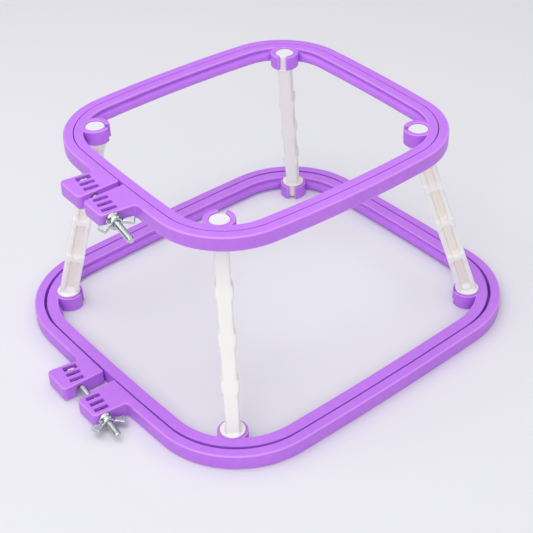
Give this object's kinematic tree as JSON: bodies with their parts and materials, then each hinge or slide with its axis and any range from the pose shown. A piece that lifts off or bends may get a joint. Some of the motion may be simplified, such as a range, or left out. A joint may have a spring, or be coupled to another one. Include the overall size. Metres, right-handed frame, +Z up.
{
  "type": "tabletop embroidery frame",
  "caption": "Free-standing needlework frame: a clamped rounded-rectangle hoop pair on leaning legs that plug into a larger clamped hoop pair on the table.",
  "frame": {"origin": "on the table, under the middle of the object's box", "axes": "+Z up; the long sides of the hoops run along X, with both clamps on the left side, at -X, and the wing nuts at the front, at -Y"},
  "size_m": [0.4022, 0.334, 0.187],
  "materials": {
    "hoop_plastic": "lilac injection-moulded plastic, satin to glossy",
    "leg_plastic": "warm white injection-moulded plastic",
    "bolt_steel": "bright zinc-plated thread",
    "nut_steel": "bright zinc-plated casting"
  },
  "bodies": {
    "base_inner": {"lower_inner_hoop": "hoop_plastic"},
    "base_outer": {"lower_outer_hoop": "hoop_plastic", "lower_clamp_bolt": "bolt_steel"},
    "base_nut": {"lower_wing_nut": "nut_steel"},
    "leg_fl": {"leg_front_left": "leg_plastic"},
    "leg_fr": {"leg_front_right": "leg_plastic"},
    "leg_rl": {"leg_rear_left": "leg_plastic"},
    "leg_rr": {"leg_rear_right": "leg_plastic"},
    "top_inner": {"upper_inner_hoop": "hoop_plastic"},
    "top_outer": {"upper_outer_hoop": "hoop_plastic", "upper_clamp_bolt": "bolt_steel"},
    "top_nut": {"upper_wing_nut": "nut_steel"}
  },
  "joints": [
    {"name": "upper_frame_lift", "type": "slide", "parent": "base_inner", "child": "top_inner", "axis": [0, 0, 1], "range_m": [0, 0.028]},
    {"name": "leg_fl_lift", "type": "slide", "parent": "base_inner", "child": "leg_fl", "axis": [0, 0, 1], "range_m": [0, 0.014]},
    {"name": "leg_fr_lift", "type": "slide", "parent": "base_inner", "child": "leg_fr", "axis": [0, 0, 1], "range_m": [0, 0.014]},
    {"name": "leg_rl_lift", "type": "slide", "parent": "base_inner", "child": "leg_rl", "axis": [0, 0, 1], "range_m": [0, 0.014]},
    {"name": "leg_rr_lift", "type": "slide", "parent": "base_inner", "child": "leg_rr", "axis": [0, 0, 1], "range_m": [0, 0.014]},
    {"name": "upper_outer_lift", "type": "slide", "parent": "top_inner", "child": "top_outer", "axis": [0, 0, 1], "range_m": [0, 0.03]},
    {"name": "lower_outer_lift", "type": "slide", "parent": "base_inner", "child": "base_outer", "axis": [0, 0, 1], "range_m": [0, 0.03]},
    {"name": "upper_nut_turn", "type": "hinge", "parent": "top_outer", "child": "top_nut", "pos_m": [-0.14596, -0.0216, 0.1805], "axis": [-0.1788, -0.9839, 0], "continuous": true},
    {"name": "lower_nut_turn", "type": "hinge", "parent": "base_outer", "child": "base_nut", "pos_m": [-0.18427, -0.03535, 0.007], "axis": [-0.1392, -0.9903, 0], "continuous": true}
  ],
  "couplings": [
    {"joint": "leg_fl_lift", "follows": "upper_frame_lift", "ratio": 0.5},
    {"joint": "leg_fr_lift", "follows": "upper_frame_lift", "ratio": 0.5},
    {"joint": "leg_rl_lift", "follows": "upper_frame_lift", "ratio": 0.5},
    {"joint": "leg_rr_lift", "follows": "upper_frame_lift", "ratio": 0.5}
  ]
}
